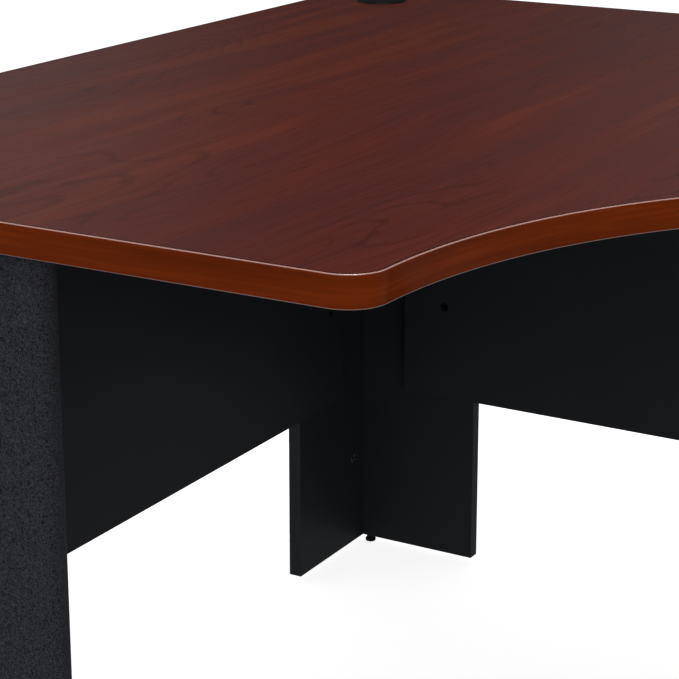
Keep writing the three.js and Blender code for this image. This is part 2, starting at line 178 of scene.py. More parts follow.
paper_mix = put(tree, "MixShader", {0: rays.outputs["Is Camera Ray"], 1: hidden.outputs[0],
                                    2: both.outputs[0]})
put(tree, "OutputMaterial", {"Surface": paper_mix.outputs[0]})
floor_mesh.materials.append(paper)
scene.view_settings.view_transform = "Standard"


# ---------------------------------------------------------------- worktop
# One 25 mm chipboard faced with printed cherry laminate, cut square with a
# quarter circle hollowed out of its front, and bored for the cable grommet.
# Its underside has a plain brown backing sheet.
MM = 0.001
band_low, band_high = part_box("edge_band")
SIDE = band_high.x - band_low.x
HALF = SIDE / 2
TOP = band_high.z
UNDERSIDE = band_low.z
END_DEPTH = 697 * MM
FRONT_CORNER = 30 * MM
BAND_THICKNESS = 3 * MM
BAND_GAP = 0.3 * MM
BACK_STEPS, END_STEPS = 300, 166   # points along each back and each end of the outline,
HOLLOW_STEPS, CORNER_STEPS = 192, 24   # round its hollow, and round each front corner


def arc(x, y, radius, start, end, steps):
    """Points (x + r cos a, y + r sin a) for a from start to end in degrees, the last one left out."""
    a = np.radians(np.linspace(start, end, steps, endpoint=False))
    return np.stack([x + radius * np.cos(a), y + radius * np.sin(a)], 1)


def straight(a, b, count):
    """Evenly spaced points from a to b, the last one left out."""
    t = np.linspace(0, 1, count, endpoint=False)[:, None]
    return np.array(a) * (1 - t) + np.array(b) * t


def worktop_edge(inset):
    """The worktop's outline, counter-clockwise from the room corner and inset by a distance:
    straight ends and backs, two convex front corners whose radius shrinks by the inset, and
    the concave front whose radius grows by it."""
    far = HALF - inset
    near = HALF - FRONT_CORNER
    turn = END_DEPTH - HALF - FRONT_CORNER
    hollow = SIDE - END_DEPTH - FRONT_CORNER + inset
    convex = FRONT_CORNER - inset
    return np.concatenate([
        straight((-far, far), (-far, -far), BACK_STEPS),
        straight((-far, -far), (turn, -far), END_STEPS),
        arc(turn, -near, convex, -90, 0, CORNER_STEPS),
        arc(near, -near, hollow, 180, 90, HOLLOW_STEPS),
        arc(near, -turn, convex, -90, 0, CORNER_STEPS),
        straight((far, -turn), (far, far), END_STEPS),
        straight((far, far), (-far, far), BACK_STEPS),
    ])


def wrapped(rows, columns, over=True):
    """Quads of a grid of rows by columns, closed round the columns and, if asked, over the rows."""
    r = np.arange(rows if over else rows - 1)[:, None]
    c = np.arange(columns)[None, :]
    below, right = (r + 1) % rows, (c + 1) % columns
    corners = [r * columns + c, r * columns + right, below * columns + right, below * columns + c]
    return np.stack(corners, -1).reshape(-1, 4)


def made(name, points, faces, material, body="desk", sharp=35, uv=None):
    """A finished piece: its mesh from arrays, smooth but for edges sharper than an angle,
    with its material and body."""
    mesh = bpy.data.meshes.new(name)
    mesh.from_pydata(np.asarray(points).reshape(-1, 3).tolist(), [], [list(f) for f in faces])
    mesh.materials.append(material)
    if uv is not None:
        layer = mesh.uv_layers.new(name="along")
        loops = np.empty(len(mesh.loops), np.int32)
        mesh.loops.foreach_get("vertex_index", loops)
        layer.data.foreach_set("uv", np.asarray(uv, np.float32).reshape(-1, 2)[loops].ravel())
    obj = bpy.data.objects.new(name, mesh)
    scene.collection.objects.link(obj)
    outward(mesh)
    smoothed(mesh, sharp)
    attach(obj, body)
    return obj


def outward(mesh):
    """Merges doubled points and turns every face outwards."""
    work = bmesh.new()
    work.from_mesh(mesh)
    bmesh.ops.remove_doubles(work, verts=work.verts, dist=1e-6)
    bmesh.ops.recalc_face_normals(work, faces=work.faces)
    work.to_mesh(mesh)
    work.free()


def smoothed(mesh, angle):
    """Smooth shading, with edges sharper than an angle in degrees kept hard."""
    mesh.polygons.foreach_set("use_smooth", np.ones(len(mesh.polygons), bool))
    mesh.set_sharp_from_angle(angle=math.radians(angle))


def material(name):
    """A new material with an empty node tree, and that tree."""
    mat = bpy.data.materials.new(name)
    mat.use_nodes = True
    mat.node_tree.nodes.clear()
    return mat, mat.node_tree


def surfaced(tree, **sockets):
    """Ends a material in a Principled BSDF. Socket names have _ for spaces."""
    bsdf = put(tree, "BsdfPrincipled", {k.replace("_", " "): v for k, v in sockets.items()})
    put(tree, "OutputMaterial", {"Surface": bsdf.outputs[0]})
    return bsdf


def group(name, inputs, outputs):
    """An empty shader node group with named sockets: its tree, its input node and its output node."""
    tree = bpy.data.node_groups.new(name, "ShaderNodeTree")
    for label, kind, value in inputs:
        socket = tree.interface.new_socket(label, in_out="INPUT", socket_type="NodeSocket" + kind)
        if value is not None:
            socket.default_value = value
    for label, kind in outputs:
        tree.interface.new_socket(label, in_out="OUTPUT", socket_type="NodeSocket" + kind)
    return tree, tree.nodes.new("NodeGroupInput"), tree.nodes.new("NodeGroupOutput")


def use(tree, shared, **sockets):
    """Places a shared group in a material, with its own values."""
    node = tree.nodes.new("ShaderNodeGroup")
    node.node_tree = shared
    return wire(tree, node, {k.replace("_", " "): v for k, v in sockets.items()})


def stretched(tree, vector, factors, detail=2.0, roughness=0.5):
    """Noise of one cell per metre, with the coordinates multiplied by factors first."""
    spread = put(tree, "VectorMath", {0: vector, 1: factors}, operation="MULTIPLY").outputs[0]
    noise = put(tree, "TexNoise", {"Vector": spread, "Scale": 1.0, "Detail": detail,
                                   "Roughness": roughness})
    return noise.outputs["Fac"]


def ramp(tree, value, stops):
    """A colour ramp's colour output. stops are (position, colour) pairs."""
    node = put(tree, "ValToRGB", {"Fac": value})
    band = node.color_ramp
    band.interpolation = "EASE"
    for i, (place, colour) in enumerate(stops):
        stop = band.elements[i] if i < 2 else band.elements.new(place)
        stop.position, stop.color = place, (*colour, 1)
    return node.outputs["Color"]


def between(tree, value, low, high, to_low=0.0, to_high=1.0):
    """A value mapped from one range to another, smoothly and clamped."""
    node = put(tree, "MapRange", {"Value": value, "From Min": low, "From Max": high,
                                  "To Min": to_low, "To Max": to_high},
               interpolation_type="SMOOTHSTEP")
    return node.outputs["Result"]


def blended(tree, kind, factor, a, b):
    """The colour output of a Mix node."""
    node = tree.nodes.new("ShaderNodeMix")
    node.data_type = "RGBA"
    node.blend_type = kind
    colours = [s for s in node.inputs if s.type == "RGBA"]
    for socket, value in zip([node.inputs[0], *colours], (factor, a, b)):
        if isinstance(value, bpy.types.NodeSocket):
            tree.links.new(value, socket)
        else:
            socket.default_value = value
    return next(s for s in node.outputs if s.type == "RGBA")


# Printed wood figure, for grain that runs along Y. Clouds, streaks and lines
# are noises drawn out along the grain. The flat-sawn loops and arches are the
# contours of a smoother drawn-out noise, which show only in some patches.
figure, into, out = group(
    "wood_figure", [("Vector", "Vector", None)],
    [("Cloud", "Float"), ("Streak", "Float"), ("Line", "Float"), ("Contour", "Float"),
     ("Pore", "Float")])
grain = into.outputs["Vector"]
sway = stretched(figure, grain, (3.2, 1.3, 1.0), 2.0)
push = maths(figure, "MULTIPLY", maths(figure, "SUBTRACT", sway, 0.5), 0.09)
sideways = put(figure, "CombineXYZ", {"X": push}).outputs[0]
bent = put(figure, "VectorMath", {0: grain, 1: sideways}, operation="ADD").outputs[0]
hill = stretched(figure, bent, (9.0, 1.5, 1.0), 1.0)
tremor = stretched(figure, bent, (60, 9, 1.0), 2.0)
level = maths(figure, "ADD", maths(figure, "MULTIPLY", hill, 24.0),
              maths(figure, "MULTIPLY", tremor, 0.9))
fold = maths(figure, "ABSOLUTE", maths(figure, "SUBTRACT", maths(figure, "FRACT", level), 0.5))
patch = between(figure, stretched(figure, grain, (5.0, 2.6, 1.0), 1.0), 0.48, 0.62)
wire(figure, out, {
    "Cloud": stretched(figure, bent, (7.5, 0.9, 1.0), 2.0),
    "Streak": stretched(figure, bent, (46, 2.4, 1.0), 3.0, 0.55),
    "Line": stretched(figure, bent, (210, 7.0, 1.0), 3.0, 0.6),
    "Contour": maths(figure, "MULTIPLY", between(figure, fold, 0.14, 0.02), patch),
    "Pore": stretched(figure, bent, (360, 22, 1.0), 1.0),
})

cherry, tree = material("cherry_laminate")
place = put(tree, "TexCoord").outputs["Object"]
wood = use(tree, figure, Vector=place)
tone = maths(tree, "ADD", maths(tree, "MULTIPLY", wood.outputs["Cloud"], 0.55),
             maths(tree, "MULTIPLY", wood.outputs["Streak"], 0.45))
colour = ramp(tree, tone, [
    (0.39, (0.092, 0.0200, 0.0170)), (0.47, (0.104, 0.0204, 0.0148)),
    (0.53, (0.115, 0.0210, 0.0135)), (0.61, (0.138, 0.0265, 0.0133)),
])
for mark, start, end, light, dark in (("Line", 0.35, 0.65, 0.95, 1.05),
                                      ("Contour", 0.0, 1.0, 1.0, 0.78),
                                      ("Pore", 0.64, 0.76, 1.0, 0.82)):
    shade = between(tree, wood.outputs[mark], start, end, light, dark)
    colour = blended(tree, "MULTIPLY", 1.0, colour, shade)
under = put(tree, "SeparateXYZ", {0: put(tree, "NewGeometry").outputs["True Normal"]}).outputs["Z"]
fibre = put(tree, "TexNoise", {"Vector": place, "Scale": 300.0, "Detail": 4.0}).outputs[0]
backing = ramp(tree, fibre, [(0.35, (0.050, 0.026, 0.018)), (0.65, (0.075, 0.040, 0.028))])
colour = blended(tree, "MIX", between(tree, under, -0.6, -0.9), colour, backing)
height = maths(tree, "ADD", wood.outputs["Line"], wood.outputs["Pore"])
bump = put(tree, "Bump", {"Strength": 0.06, "Distance": 0.0002, "Height": height})
surfaced(tree, Base_Color=colour, Roughness=between(tree, wood.outputs["Line"], 0.3, 0.7, 0.25, 0.33),
         Specular_IOR_Level=0.24, Normal=bump.outputs[0])

liner_low, liner_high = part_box("grommet_liner")
GROMMET = (liner_low + liner_high) / 2
GROMMET_HOLE = 27.5 * MM
EASE = 0.15 * MM                 # the laminate's edge, barely broken

# The board is a ring carried round the grommet's hole: each point of the
# outline is joined to the point of the hole that faces it, over and under.
rim = worktop_edge(BAND_THICKNESS + BAND_GAP)
rim_in = worktop_edge(BAND_THICKNESS + BAND_GAP + EASE)
facing = rim - np.array(GROMMET[:2])
facing /= np.linalg.norm(facing, axis=1)[:, None]
hole = np.array(GROMMET[:2]) + facing * GROMMET_HOLE
rows = [(hole, TOP), (rim_in, TOP), (rim, TOP - EASE), (rim, UNDERSIDE + EASE),
        (rim_in, UNDERSIDE), (hole, UNDERSIDE)]
points = np.stack([np.column_stack([xy, np.full(len(xy), z)]) for xy, z in rows])
board = made("cherry_worktop", points, wrapped(len(rows), len(rim)), cherry,
             sharp=20)
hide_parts("worktop")


# ---------------------------------------------------------------- edge band
# A 3 mm plastic strip printed with plainer, redder wood, glued all round the
# board. Its two arrises are rounded over by the trimming cutter.
ARRIS = 1.3 * MM


def band_profile():
    """(inset, height) pairs round the strip's section: the inner face, and the outer face
    with a quarter circle at each arris."""
    a = np.radians(np.linspace(0, 90, 7))
    lower = np.stack([ARRIS * (1 - np.cos(a)), UNDERSIDE + ARRIS * (1 - np.sin(a))], 1)[::-1]
    upper = np.stack([ARRIS * (1 - np.cos(a)), TOP - ARRIS * (1 - np.sin(a))], 1)
    inner = BAND_THICKNESS
    return [(inner, UNDERSIDE), *lower, *upper, (inner, TOP)]


# The trimmed arrises are polished and painted paler: partly the cutter's scraping, partly a painted
# highlight on the top arris and a painted reflection of the floor on the lower arris and underneath.
# The strip's flat top is coloured near black, darkening the line where it meets the laminate.
edging, tree = material("cherry_edge_band")
along = put(tree, "UVMap", uv_map="along").outputs[0]
cloud = stretched(tree, along, (3.0, 60, 1), 3.0)
fine = stretched(tree, along, (14, 420, 1), 4.0, 0.6)
tone = maths(tree, "ADD", maths(tree, "MULTIPLY", cloud, 0.6), maths(tree, "MULTIPLY", fine, 0.4))
colour = ramp(tree, tone, [(0.38, (0.178, 0.024, 0.002)), (0.50, (0.222, 0.030, 0.0023)),
                           (0.62, (0.280, 0.040, 0.0035))])
tilt = put(tree, "SeparateXYZ", {0: put(tree, "NewGeometry").outputs["True Normal"]}).outputs["Z"]
# painted highlight on the top arris, partly the cutter's scraping
over = maths(tree, "MULTIPLY", between(tree, tilt, 0.30, 0.60), between(tree, tilt, 0.97, 0.90, 0.0, 0.75))
# painted reflection of the floor on the lower arris and the strip's underside, partly scraping
lower_reflection_and_scrape = between(tree, tilt, -0.20, -0.45, 0.0, 0.5)
scrape_and_painted_light = maths(tree, "ADD", over, lower_reflection_and_scrape)
# the pale colour carries both the scraping and the painted highlight and reflection
colour = blended(tree, "MIX", scrape_and_painted_light, colour, (0.74, 0.46, 0.41, 1))
# the strip's flat top is coloured near black along its joint with the laminate
dark_strip_top = between(tree, tilt, 0.985, 0.999)
colour = blended(tree, "MIX", dark_strip_top, colour, (0.035, 0.008, 0.006, 1))
bump = put(tree, "Bump", {"Strength": 0.10, "Distance": 0.0001, "Height": fine})
polish = between(tree, maths(tree, "ABSOLUTE", tilt), 0.2, 0.5)
surfaced(tree, Base_Color=colour, Roughness=between(tree, fine, 0.3, 0.7, 0.16, 0.22),
         Specular_IOR_Level=between(tree, polish, 0.0, 1.0, 0.08, 1.0), Normal=bump.outputs[0])

profile = band_profile()
loops = [worktop_edge(inset) for inset, z in profile]
points = np.stack([np.column_stack([xy, np.full(len(xy), z)])
                   for xy, (inset, z) in zip(loops, profile)])
run = np.concatenate([[0], np.cumsum(np.linalg.norm(np.diff(loops[1], axis=0), axis=1))])
uv = np.stack([np.column_stack([run, np.full(len(run), z - inset)]) for inset, z in profile])
band = made("cherry_edging", points, wrapped(len(profile), len(run)), edging,
            sharp=50, uv=uv)
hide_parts("edge_band")


# ---------------------------------------------------------------- grommet
# A black moulded liner pressed into the hole, its flange lying on the top,
# and a turning cap with a rounded slot for the cables. Both have the fine
# spark-eroded texture of their mould.
skin, into, out = group("moulded_skin", [("Vector", "Vector", None), ("Grain", "Float", 2000.0)],
                        [("Smear", "Float"), ("Spark", "Float")])
wire(skin, out, {
    "Smear": put(skin, "TexNoise", {"Vector": into.outputs["Vector"], "Scale": 60.0,
                                    "Detail": 3.0}).outputs[0],
    "Spark": put(skin, "TexNoise", {"Vector": into.outputs["Vector"], "Scale": into.outputs["Grain"],
                                    "Detail": 2.0}).outputs[0],
})


def moulded(name, colour, rough, grain, depth):
    """Moulded plastic with a spark-eroded texture of so many grains a metre."""
    mat, tree = material(name)
    texture = use(tree, skin, Vector=put(tree, "TexCoord").outputs["Object"], Grain=grain)
    smear = texture.outputs["Smear"]
    shade = blended(tree, "MULTIPLY", 1.0, (*colour, 1), between(tree, smear, 0.3, 0.7, 0.85, 1.15))
    bump = put(tree, "Bump", {"Strength": 0.35, "Distance": depth, "Height": texture.outputs["Spark"]})
    surfaced(tree, Base_Color=shade, Roughness=between(tree, smear, 0.3, 0.7, rough - 0.05, rough + 0.07),
             Specular_IOR_Level=0.2, Normal=bump.outputs[0])
    return mat


def filleted(profile, radius):
    """A profile whose inner corners are rounded: each corner gives way to a quadratic curve
    that starts and ends at most radius along its two sides."""
    pts = [np.array(p, float) for p in profile]
    out = [pts[0]]
    for before, corner, after in zip(pts, pts[1:], pts[2:]):
        back, on = before - corner, after - corner
        reach = min(radius, np.linalg.norm(back) * 0.45, np.linalg.norm(on) * 0.45)
        a = corner + back / np.linalg.norm(back) * reach
        b = corner + on / np.linalg.norm(on) * reach
        for t in np.linspace(0, 1, 4):
            out.append((1 - t) ** 2 * a + 2 * t * (1 - t) * corner + t ** 2 * b)
    return np.array([*out, pts[-1]])


def turned(name, profile, start, axis, material, body="desk", sides=48, ring=False,
           carve=None, groove=None):
    """A turned piece. profile is (radius, height) pairs along axis from start; ring closes it
    on itself, and otherwise it begins and ends on the axis. groove(x, y, height) gives new
    x and y, such as a thread, and carve a new height, such as a driving recess."""
    profile = np.asarray(profile, float)
    a = np.linspace(0, 2 * math.pi, sides, endpoint=False)
    x, y = profile[:, :1] * np.cos(a), profile[:, :1] * np.sin(a)
    h = np.repeat(profile[:, 1:], sides, 1)
    if groove is not None:
        x, y = groove(x, y, h)
    if carve is not None:
        h = carve(x, y, h)
    turn = np.array(Vector((0, 0, 1)).rotation_difference(Vector(axis)).to_matrix())
    points = np.stack([x, y, h], -1) @ turn.T + np.array(start)
    return made(name, points, wrapped(len(profile), sides, over=ring), material, body)


plastic = moulded("grommet_plastic", (0.006, 0.006, 0.0065), 0.46, 2000.0, 0.04 * MM)
FLANGE = (liner_high.x - liner_low.x) / 2
FLANGE_TOP = liner_high.z - TOP
LINER = GROMMET_HOLE - 0.3 * MM
DEEP = -20 * MM                  # the liner's lower end, from the work surface
BORE = LINER - 1.6 * MM
LEDGE = BORE - 2 * MM            # the step that carries the cap
SEAT = -1.9 * MM
grommet_at = Vector((GROMMET.x, GROMMET.y, TOP))
liner = turned("grommet_collar", filleted([
    (LEDGE + 1e-5, DEEP), (LINER, DEEP), (LINER, 0), (FLANGE, 0), (FLANGE, 0.7 * MM),
    (FLANGE - 2.4 * MM, FLANGE_TOP), (BORE + 0.1 * MM, FLANGE_TOP), (BORE, SEAT),
    (LEDGE, SEAT), (LEDGE, DEEP)], 0.6 * MM), grommet_at, (0, 0, 1), plastic,
    sides=128, ring=True)
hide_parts("grommet_liner")

cap_low, cap_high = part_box("grommet_cap")
CAP = (cap_high.x - cap_low.x) / 2
SLOT = 9 * MM
SLOT_END = 9 * MM


def cap_edge(inset):
    """The cap's outline: a circle of radius R - inset, broken by a slot of half width
    w + inset whose inner end is a half circle."""
    radius, half = CAP - inset, SLOT + inset
    meet = math.degrees(math.acos(half / radius))
    lip = math.sqrt(radius ** 2 - half ** 2)
    return np.concatenate([
        arc(0, 0, radius, 180 - meet, 360 + meet, 96),
        straight((half, lip), (half, SLOT_END), 8),
        arc(0, SLOT_END, half, 360, 180, 24),
        straight((-half, SLOT_END), (-half, lip), 8),
    ])


CAP_EASE = 0.5 * MM
a = np.radians(np.linspace(0, 90, 5))
inset, drop = CAP_EASE * (1 - np.cos(a)), CAP_EASE * (1 - np.sin(a))
section = [*zip(inset[::-1], cap_low.z + drop[::-1]), *zip(inset, cap_high.z - drop)]
edge = [cap_edge(inset) + np.array(GROMMET[:2]) for inset, z in section]
points = np.stack([np.column_stack([xy, np.full(len(xy), z)]) for xy, (_, z) in zip(edge, section)])
count = len(edge[0])
faces = [*wrapped(len(section), count, over=False).tolist(), list(range(count)),
         list(range((len(section) - 1) * count, len(section) * count))]
cap = made("grommet_lid", points, faces, plastic, "grommet_cap")
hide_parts("grommet_cap")


# ---------------------------------------------------------------- panels
# The end legs are boards wrapped in a charcoal foil with a pebbled, speckled
# print. The corner leg and the modesty panels are smooth black laminate.
def weighted(mesh, angle):
    """Shading normals: each face corner takes the area-weighted mean of the faces round its
    point that lie within an angle of its own face, so that big flat faces stay flat."""
    count = len(mesh.polygons)
    normal, area = np.empty(count * 3, np.float32), np.empty(count, np.float32)
    mesh.polygons.foreach_get("normal", normal)
    mesh.polygons.foreach_get("area", area)
    normal = normal.reshape(-1, 3)
    at_point = {}
    corners = [(loop.vertex_index, face.index) for face in mesh.polygons
               for loop in (mesh.loops[i] for i in face.loop_indices)]
    for point, face in corners:
        at_point.setdefault(point, []).append(face)
    limit = math.cos(math.radians(angle))
    shading = []
    for point, face in corners:
        near = [f for f in at_point[point] if normal[f] @ normal[face] > limit]
        mean = (normal[near] * area[near][:, None]).sum(0)
        shading.append(mean / np.linalg.norm(mean))
    mesh.polygons.foreach_set("use_smooth", np.ones(count, bool))
    mesh.normals_split_custom_set(shading)


def eased(node, name, material, width):
    """A CAD board or fitting with its arrises eased: its mesh is copied, merged and cleared
    of the lines inside flat faces, and every edge sharper than 40 degrees is rounded."""
    mesh = frame["nodes"][node].data.copy()
    mesh.name = name
    work = bmesh.new()
    work.from_mesh(mesh)
    bmesh.ops.remove_doubles(work, verts=work.verts, dist=1e-5)
    bmesh.ops.dissolve_limit(work, angle_limit=math.radians(0.5), verts=work.verts, edges=work.edges)
    bmesh.ops.recalc_face_normals(work, faces=work.faces)
    arrises = [e for e in work.edges if e.calc_face_angle(0) > math.radians(40)]
    bmesh.ops.bevel(work, geom=arrises, offset=width, segments=2, profile=0.5, affect="EDGES",
                    clamp_overlap=True)
    bmesh.ops.remove_doubles(work, verts=work.verts, dist=1e-6)
    work.to_mesh(mesh)
    work.free()
    weighted(mesh, 50)
    mesh.materials.clear()
    mesh.materials.append(material)
    obj = bpy.data.objects.new(name, mesh)
    scene.collection.objects.link(obj)
    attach(obj, frame["nodes"][node]["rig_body"])
    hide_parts(node)
    return obj


speckled, tree = material("speckled_charcoal")
place = put(tree, "TexCoord").outputs["Object"]
pebble = put(tree, "TexNoise", {"Vector": place, "Scale": 900.0, "Detail": 3.0,
                                "Roughness": 0.75}).outputs[0]
dots = put(tree, "TexVoronoi", {"Vector": place, "Scale": 330.0, "Randomness": 1.0})
fleck = put(tree, "TexNoise", {"Vector": place, "Scale": 640.0, "Detail": 0.5}).outputs[0]
colour = ramp(tree, pebble, [(0.38, (0.014, 0.015, 0.021)), (0.50, (0.041, 0.043, 0.054)),
                             (0.62, (0.088, 0.091, 0.110))])
dark = between(tree, fleck, 0.62, 0.68, 1.0, 0.15)
colour = blended(tree, "MULTIPLY", 1.0, colour, dark)
height = maths(tree, "ADD", pebble, maths(tree, "MULTIPLY", dots.outputs["Distance"], 0.5))
bump = put(tree, "Bump", {"Strength": 0.5, "Distance": 0.0003, "Height": height})
surfaced(tree, Base_Color=colour, Roughness=0.62, Specular_IOR_Level=0.25, Normal=bump.outputs[0])

black, tree = material("black_laminate")
place = put(tree, "TexCoord").outputs["Object"]
matt = put(tree, "TexNoise", {"Vector": place, "Scale": 900.0, "Detail": 2.0}).outputs[0]
haze = put(tree, "TexNoise", {"Vector": place, "Scale": 5.0, "Detail": 4.0}).outputs[0]
colour = ramp(tree, haze, [(0.3, (0.0345, 0.0378, 0.0443)), (0.7, (0.0415, 0.0448, 0.0518))])
bump = put(tree, "Bump", {"Strength": 0.2, "Distance": 0.0001, "Height": matt})
surfaced(tree, Base_Color=colour, Roughness=between(tree, haze, 0.3, 0.7, 0.42, 0.52),
         Specular_IOR_Level=0.13, Normal=bump.outputs[0])

for side in ("left", "right"):
    eased(f"{side}_end_leg", f"{side}_end_leg_board", speckled, 0.8 * MM)
    eased(f"{side}_modesty_panel", f"{side}_modesty_board", black, 0.6 * MM)
    eased(f"corner_leg_{side}_panel", f"corner_leg_{side}_board", black, 0.6 * MM)


# ---------------------------------------------------------------- cam locks
# Cast zinc discs let into round pockets, with a cross in the open face for the
# driver. Each cam's axis points out of its panel into the knee space.
worked, into, out = group("worked_metal", [("Vector", "Vector", None), ("Grain", "Vector", None)],
                          [("Drift", "Float"), ("Grain", "Float")])
wire(worked, out, {
    "Drift": put(worked, "TexNoise", {"Vector": into.outputs["Vector"], "Scale": 140.0,
                                      "Detail": 3.0}).outputs[0],
    "Grain": stretched(worked, into.outputs["Vector"], into.outputs["Grain"], 2.0),
})


def metal(name, colour, rough, grain):
    """Metal whose tone and polish drift over the surface, with so many grains a metre along
    X, Y and Z."""
    mat, tree = material(name)
    finish = use(tree, worked, Vector=put(tree, "TexCoord").outputs["Object"], Grain=grain)
    drift = finish.outputs["Drift"]
    shade = blended(tree, "MULTIPLY", 1.0, (*colour, 1), between(tree, drift, 0.3, 0.7, 0.8, 1.1))
    bump = put(tree, "Bump", {"Strength": 0.3, "Distance": 0.02 * MM,
                              "Height": finish.outputs["Grain"]})
    surfaced(tree, Base_Color=shade, Metallic=1.0, Normal=bump.outputs[0],
             Roughness=between(tree, drift, 0.3, 0.7, rough - 0.06, rough + 0.08))
    return mat


def span(node, way):
    """Where a CAD piece starts on its centre line, going a way, and how long it is that way."""
    low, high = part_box(node)
    length = abs((high - low).dot(way))
    return (low + high) / 2 - way * length / 2, length


def step_down(value, edge, soft):
    """1 below edge, 0 above it, with a straight slope soft wide between."""
    return np.clip((edge - value) / soft + 0.5, 0, 1)


def cross_bars(x, y, arm, half, slope):
    """1 inside a plus sign and 0 outside it."""
    return np.maximum(step_down(abs(x), arm, slope) * step_down(abs(y), half, slope),
                      step_down(abs(y), arm, slope) * step_down(abs(x), half, slope))


zinc = metal("cast_zinc", (0.34, 0.34, 0.33), 0.45, (1600, 1600, 1600))
AXIS = 1e-7                      # the radius of a profile point on the axis
SAME = 1e-7                      # heights closer than this are the same
CAM_EASE = 0.5 * MM
CAM_HEEL = 0.4 * MM
CROSS_ARM = 4.6 * MM
CROSS_HALF = 0.9 * MM
CROSS_DEPTH = 3.2 * MM
CROSS_DRAFT = 0.3 * MM
LEFT_OUT, LEFT_RUN = Vector((1, 0, 0)), Vector((0, -1, 0))
RIGHT_OUT, RIGHT_RUN = Vector((0, -1, 0)), Vector((1, 0, 0))
CAM_WAYS = {"corner": LEFT_OUT, "left_end": LEFT_OUT, "left_top": -LEFT_RUN,
            "right_end": RIGHT_OUT, "right_top": -RIGHT_RUN}

for node in sorted(n for n in frame["nodes"] if n.endswith("_cam")):
    way = next(v for k, v in CAM_WAYS.items() if node.startswith(k))
    start, length = span(node, way)
    low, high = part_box(node)
    radius = max(high - low) / 2
    face = radius - CAM_EASE

    def crossed(x, y, h, top=length):
        """Sinks the driver's cross into the open face."""
        bars = cross_bars(x, y, CROSS_ARM, CROSS_HALF, CROSS_DRAFT)
        return h - CROSS_DEPTH * bars * (abs(h - top) < SAME)
    end = [(face * i / 16 + AXIS * (i == 0), length) for i in range(17)]
    profile = [*end, (radius, length - CAM_EASE), (radius, CAM_HEEL), (radius - CAM_HEEL, 0), (AXIS, 0)]
    cam = turned(f"{node}_disc", profile, start, way, zinc, sides=64, carve=crossed)
    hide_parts(node)


# ---------------------------------------------------------------- cam bolts
# Plated steel: a ball-ended neck caught by the cam, a plain collar that fills
# the bore, and a coarse wood thread rolled for the mating board.
def threaded(radius, begin, end, pitch, depth, sides):
    """Profile rows for a thread between two heights, and the helical groove that cuts it: the
    radius drops by depth times a triangle wave of (height / pitch - angle / 2 pi)."""
    turn = np.arange(sides) / sides
    rows = [(radius, h) for h in np.arange(begin, end, pitch / 6)]

    def groove(x, y, h):
        wave = abs(((h / pitch - turn) % 1) * 2 - 1)
        inside = (h > begin) & (h < end) & (np.hypot(x, y) > radius * 0.98)
        shrink = 1 - inside * depth * wave / radius
        return x * shrink, y * shrink
    return rows, groove


plated = metal("plated_steel", (0.52, 0.52, 0.50), 0.30, (900, 900, 90))
UP = Vector((0, 0, 1))
BOLT_COLLAR = 3.2 * MM           # radii, and the heights where they change
BOLT_NECK = 1.9 * MM
BOLT_CORE = 2.5 * MM
BALL_TOP = 2.4 * MM
NECK_FROM, NECK_TO = 3.2 * MM, 6 * MM
COLLAR_FROM, COLLAR_TO = 7 * MM, 26.6 * MM
BOLT_THREAD_FROM = 27.4 * MM
BOLT_PITCH = 1.8 * MM
BOLT_SIDES = 28

for node in sorted(n for n in frame["nodes"] if n.endswith("_cam_bolt")):
    if node.startswith("corner"):
        way = Vector((0, 1, 0))
    elif "_top_" in node:
        way = UP
    else:
        way = LEFT_RUN if node.startswith("left") else RIGHT_RUN
    start, length = span(node, way)
    rows, groove = threaded(BOLT_CORE, BOLT_THREAD_FROM, length - 2 * MM, BOLT_PITCH, 0.7 * MM,
                            BOLT_SIDES)
    shank = filleted([
        (AXIS, 0), (2.6 * MM, 0), (BOLT_COLLAR, 0.7 * MM), (BOLT_COLLAR, BALL_TOP),
        (BOLT_NECK, NECK_FROM), (BOLT_NECK, NECK_TO), (BOLT_COLLAR, COLLAR_FROM),
        (BOLT_COLLAR, COLLAR_TO), (BOLT_CORE, 27.1 * MM)], 0.3 * MM)
    profile = [*shank, *rows, (2.4 * MM, length - 1.6 * MM), (AXIS, length)]
    bolt = turned(f"{node}_thread", profile, start, way, plated,
                  sides=BOLT_SIDES, groove=groove)
    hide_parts(node)


# ---------------------------------------------------------------- panel bolts
# Blackened steel bolts with a hexagon socket, each screwed through a modesty
# panel into a turned brass insert in the corner leg.
blackened = metal("blackened_steel", (0.035, 0.035, 0.038), 0.42, (1300, 1300, 1300))
brass = metal("turned_brass", (0.55, 0.42, 0.20), 0.32, (1500, 1500, 220))
HEAD = 5.4 * MM
HEAD_TALL = 4.4 * MM
HEAD_EASE = 0.8 * MM
SHANK = 3 * MM
SOCKET = 2.3 * MM                # from the axis to a side of the hexagon
SOCKET_DEPTH = 2.6 * MM
SOCKET_DRAFT = 0.25 * MM
INSERT = 4.3 * MM
INSERT_BORE = 3.3 * MM

